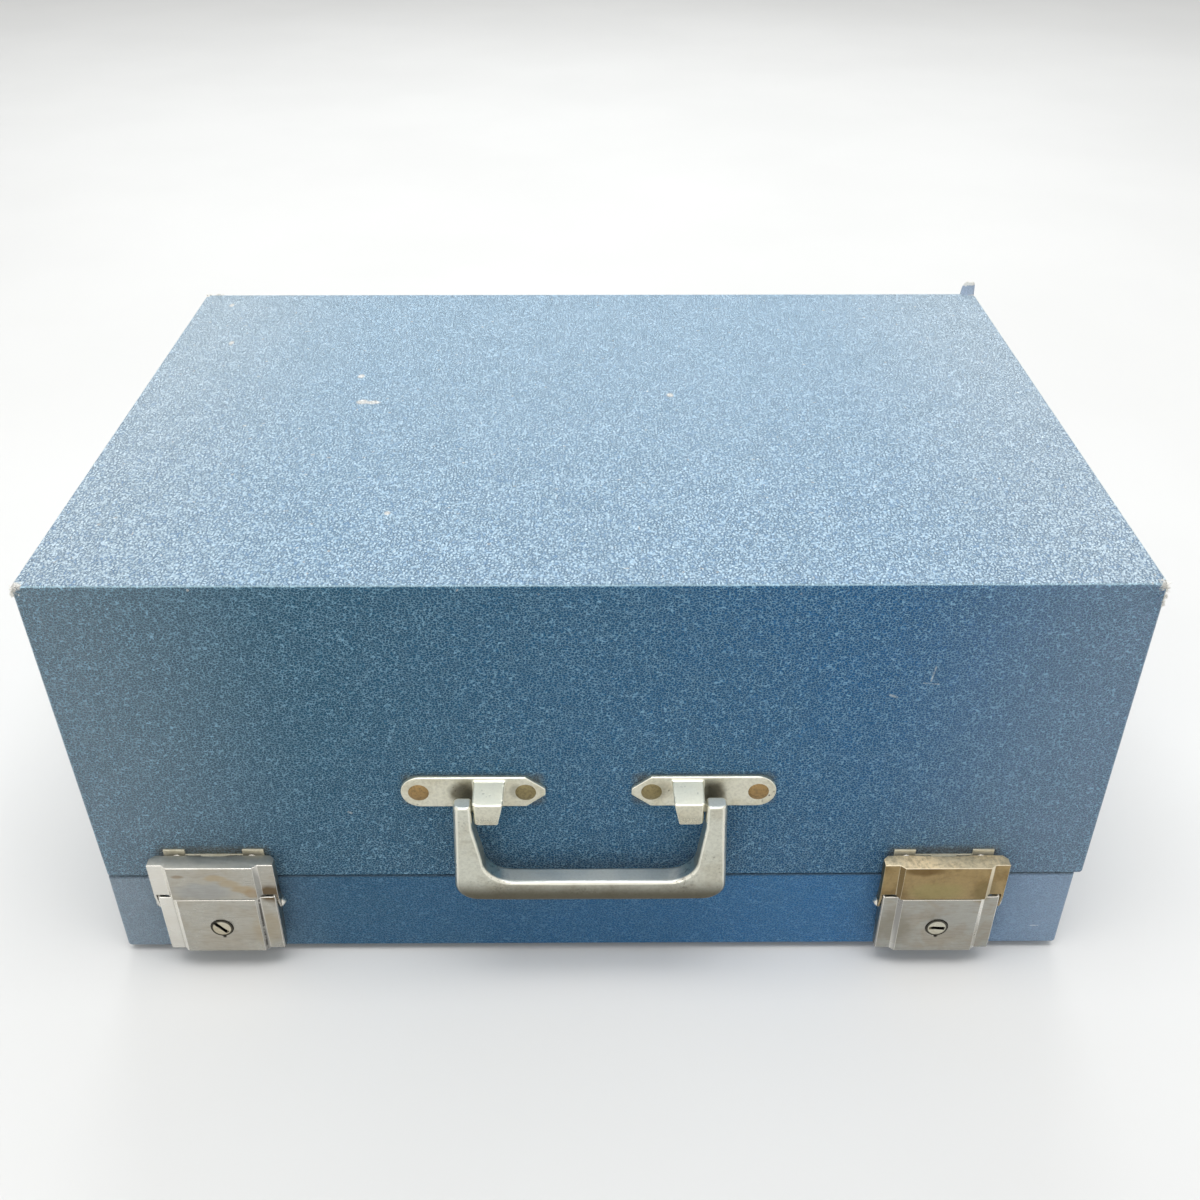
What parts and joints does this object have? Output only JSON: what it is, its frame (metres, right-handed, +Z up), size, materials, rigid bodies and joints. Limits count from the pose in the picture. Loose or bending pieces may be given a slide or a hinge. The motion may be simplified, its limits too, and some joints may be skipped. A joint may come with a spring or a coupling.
{
  "type": "portable typewriter case",
  "caption": "box-shaped carrying case for a portable typewriter with a lift-up lid hinged at the back, draw latches with key locks and a swinging bail handle on the front",
  "frame": {"origin": "the middle of the whole outline seen from above, on the plane that the feet stand on", "axes": "X to the right, Y to the back (the hinges), Z up; the latches and handle face -Y"},
  "size_m": [0.4, 0.2944, 0.1862],
  "materials": {
    "leatherette": "blue pebble grain, semi-matt, worn at the corners",
    "wood": "plain plywood",
    "lining_cloth": "flocked cloth",
    "nickelled_steel": "satin nickel with light tarnish",
    "tarnished_plate": "nickel tarnished to a brassy brown",
    "brass_fittings": "dull brass",
    "cast_aluminium": "satin casting with small pits",
    "copper_rivets": "browned copper",
    "rubber": "matt"
  },
  "bodies": {
    "base": {"base_bottom_panel": "wood", "base_front_panel": "wood", "base_back_panel": "wood", "base_left_panel": "wood", "base_right_panel": "wood", "base_covering": "leatherette", "base_lining": "lining_cloth", "locating_rim": "wood", "feet": "nickelled_steel", "latch_base_plate_left": "nickelled_steel", "latch_base_plate_right": "nickelled_steel", "latch_pivot_pin_left": "nickelled_steel", "latch_pivot_pin_right": "nickelled_steel", "latch_plate_rivets": "nickelled_steel", "hinge_base_leaf_left": "nickelled_steel", "hinge_base_leaf_right": "nickelled_steel", "hinge_pin_left": "nickelled_steel", "hinge_pin_right": "nickelled_steel", "hinge_base_rivets": "nickelled_steel", "rest_pads": "rubber", "pad_screws": "nickelled_steel", "hold_down_blocks": "wood", "hold_down_screws": "nickelled_steel"},
    "lid": {"lid_top_panel": "wood", "lid_front_panel": "wood", "lid_back_panel": "wood", "lid_left_panel": "wood", "lid_right_panel": "wood", "lid_covering": "leatherette", "lid_lining": "lining_cloth", "strike_plate_left": "nickelled_steel", "strike_plate_right": "tarnished_plate", "strike_rivets": "nickelled_steel", "handle_plate_left": "cast_aluminium", "handle_plate_right": "cast_aluminium", "handle_rivets": "copper_rivets", "handle_washers": "nickelled_steel", "hinge_lid_leaf_left": "nickelled_steel", "hinge_lid_leaf_right": "nickelled_steel", "hinge_lid_rivets": "nickelled_steel"},
    "handle": {"handle_bail": "cast_aluminium"},
    "lever_left": {"latch_lever_left": "nickelled_steel", "latch_hinge_pins_left": "brass_fittings", "lock_case_left": "brass_fittings"},
    "lever_right": {"latch_lever_right": "nickelled_steel", "latch_hinge_pins_right": "brass_fittings", "lock_case_right": "brass_fittings"},
    "hasp_left": {"latch_hasp_left": "nickelled_steel"},
    "hasp_right": {"latch_hasp_right": "tarnished_plate"},
    "lock_left": {"lock_plug_left": "brass_fittings", "lock_cam_left": "brass_fittings"},
    "lock_right": {"lock_plug_right": "brass_fittings", "lock_cam_right": "brass_fittings"},
    "clip_left": {"hold_down_clip_left": "nickelled_steel"},
    "clip_right": {"hold_down_clip_right": "nickelled_steel"}
  },
  "joints": [
    {"name": "lid_hinge", "type": "hinge", "parent": "base", "child": "lid", "pos_m": [0, 0.1442, 0.0445], "axis": [-1, 0, 0], "range_deg": [0, 105]},
    {"name": "handle_swing", "type": "hinge", "parent": "lid", "child": "handle", "pos_m": [-0.0006, -0.1429, 0.0915], "axis": [-1, 0, 0], "range_deg": [-5, 175]},
    {"name": "lever_left_turn", "type": "hinge", "parent": "base", "child": "lever_left", "pos_m": [-0.1512, -0.1372, 0.042], "axis": [-1, 0, 0], "range_deg": [-4, 78]},
    {"name": "lever_right_turn", "type": "hinge", "parent": "base", "child": "lever_right", "pos_m": [0.1413, -0.1372, 0.0405], "axis": [-1, 0, 0], "range_deg": [-4, 78]},
    {"name": "hasp_left_turn", "type": "hinge", "parent": "lever_left", "child": "hasp_left", "pos_m": [-0.1512, -0.1375, 0.035], "axis": [-1, 0, 0], "range_deg": [-95.2, 4.9]},
    {"name": "hasp_right_turn", "type": "hinge", "parent": "lever_right", "child": "hasp_right", "pos_m": [0.1413, -0.1375, 0.0335], "axis": [-1, 0, 0], "range_deg": [-95.2, 4.9]},
    {"name": "lock_left_turn", "type": "hinge", "parent": "lever_left", "child": "lock_left", "pos_m": [-0.1512, -0.1412, 0.025], "axis": [0, 1, 0], "range_deg": [-45, 45]},
    {"name": "lock_right_turn", "type": "hinge", "parent": "lever_right", "child": "lock_right", "pos_m": [0.1413, -0.1412, 0.0235], "axis": [0, 1, 0], "range_deg": [0, 90]},
    {"name": "clip_left_turn", "type": "hinge", "parent": "base", "child": "clip_left", "pos_m": [-0.15, -0.1142, 0.0275], "axis": [0, 0, 1], "range_deg": [0, 90]},
    {"name": "clip_right_turn", "type": "hinge", "parent": "base", "child": "clip_right", "pos_m": [0.15, -0.1142, 0.0275], "axis": [0, 0, -1], "range_deg": [0, 90]}
  ],
  "couplings": [
    {"joint": "hasp_left_turn", "follows": "lever_left_turn", "ratio": -1.22},
    {"joint": "hasp_right_turn", "follows": "lever_right_turn", "ratio": -1.22}
  ]
}
